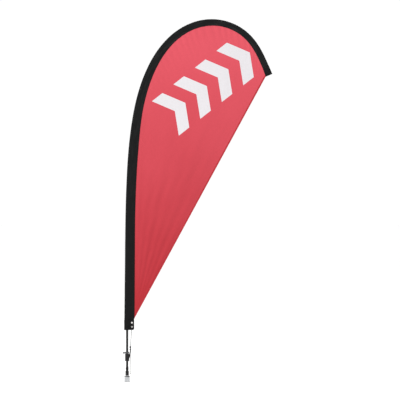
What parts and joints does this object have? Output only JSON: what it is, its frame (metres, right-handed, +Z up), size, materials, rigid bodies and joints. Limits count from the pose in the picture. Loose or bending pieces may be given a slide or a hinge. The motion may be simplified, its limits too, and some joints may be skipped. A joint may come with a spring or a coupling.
{
  "type": "teardrop flag",
  "caption": "Teardrop banner on a bent three-section pole with a cord-tensioned sleeve, standing on a rotating spindle in a ground spike.",
  "frame": {"origin": "on the spindle's axis at ground level, where the housing's underside sits on the ground", "axes": "+Z up along the spindle, +X from the pole towards the flag's free edge, Y across the flag"},
  "size_m": [0.8979, 0.0446, 2.6578],
  "materials": {
    "galvanised_steel": "galvanised, dull silver",
    "bright_steel": "bright zinc plate",
    "brass": "plain",
    "nickel": "nickel plated",
    "black_plastic": "moulded, satin",
    "black_aluminium": "black anodised",
    "fibreglass": "black resin over glass fibre",
    "rubber": "matt",
    "black_cloth": "woven polyester",
    "black_webbing": "coarse webbing",
    "red_cloth": "knitted polyester, slight sheen",
    "pale_cord": "braided elastic"
  },
  "bodies": {
    "stake": {"spike_shank": "galvanised_steel", "spike_fin_1": "galvanised_steel", "spike_fin_2": "galvanised_steel", "spike_fin_3": "galvanised_steel", "spike_fin_4": "galvanised_steel", "bearing_housing": "galvanised_steel", "housing_cap": "black_plastic", "lower_outer_race": "bright_steel", "upper_outer_race": "bright_steel"},
    "spindle": {"spindle": "bright_steel", "spindle_circlip": "bright_steel", "lower_inner_race": "bright_steel", "upper_inner_race": "bright_steel", "bearing_spacer": "bright_steel", "lower_o_ring": "rubber", "upper_o_ring": "rubber"},
    "lower_balls": {"lower_ball_cage": "brass"},
    "upper_balls": {"upper_ball_cage": "brass"},
    "pole": {"pole_foot": "black_plastic", "pole_lower": "black_aluminium", "lower_joint_collar": "bright_steel", "pole_middle": "fibreglass", "upper_joint_collar": "bright_steel", "pole_tip": "fibreglass", "tip_cap": "rubber", "pole_sleeve": "black_cloth", "sleeve_cuff": "black_webbing", "tip_pocket": "black_webbing", "flag_panel": "red_cloth", "leech_hem": "red_cloth", "upper_eyelet": "nickel", "upper_eyelet_washer": "nickel", "lower_eyelet": "nickel", "lower_eyelet_washer": "nickel", "tension_cord": "pale_cord", "stopper_knot": "pale_cord"},
    "collar": {"hook_collar": "black_plastic", "clamp_band": "bright_steel", "clamp_nut": "bright_steel", "cord_hitch": "pale_cord", "cord_tail": "pale_cord", "tail_knot": "pale_cord"},
    "clamp_screw": {"clamp_screw": "bright_steel"}
  },
  "joints": [
    {"name": "spindle_spin", "type": "hinge", "parent": "stake", "child": "spindle", "pos_m": [0, 0, 0.0225], "axis": [0, 0, 1], "continuous": true},
    {"name": "lower_cage_spin", "type": "hinge", "parent": "stake", "child": "lower_balls", "pos_m": [0, 0, 0.0095], "axis": [0, 0, 1], "continuous": true},
    {"name": "upper_cage_spin", "type": "hinge", "parent": "stake", "child": "upper_balls", "pos_m": [0, 0, 0.0265], "axis": [0, 0, 1], "continuous": true},
    {"name": "pole_lift", "type": "slide", "parent": "spindle", "child": "pole", "axis": [0, 0, 1], "range_m": [0, 0.11]},
    {"name": "collar_slide", "type": "slide", "parent": "pole", "child": "collar", "axis": [0, 0, 1], "range_m": [-0.03, 0.05], "deforming": ["tension_cord"]},
    {"name": "clamp_turn", "type": "hinge", "parent": "collar", "child": "clamp_screw", "pos_m": [-0.0195, 0, 0.175], "axis": [0, -1, 0], "range_deg": [0, 720]}
  ],
  "couplings": [
    {"joint": "lower_cage_spin", "follows": "spindle_spin", "ratio": 0.395},
    {"joint": "upper_cage_spin", "follows": "spindle_spin", "ratio": 0.395}
  ]
}
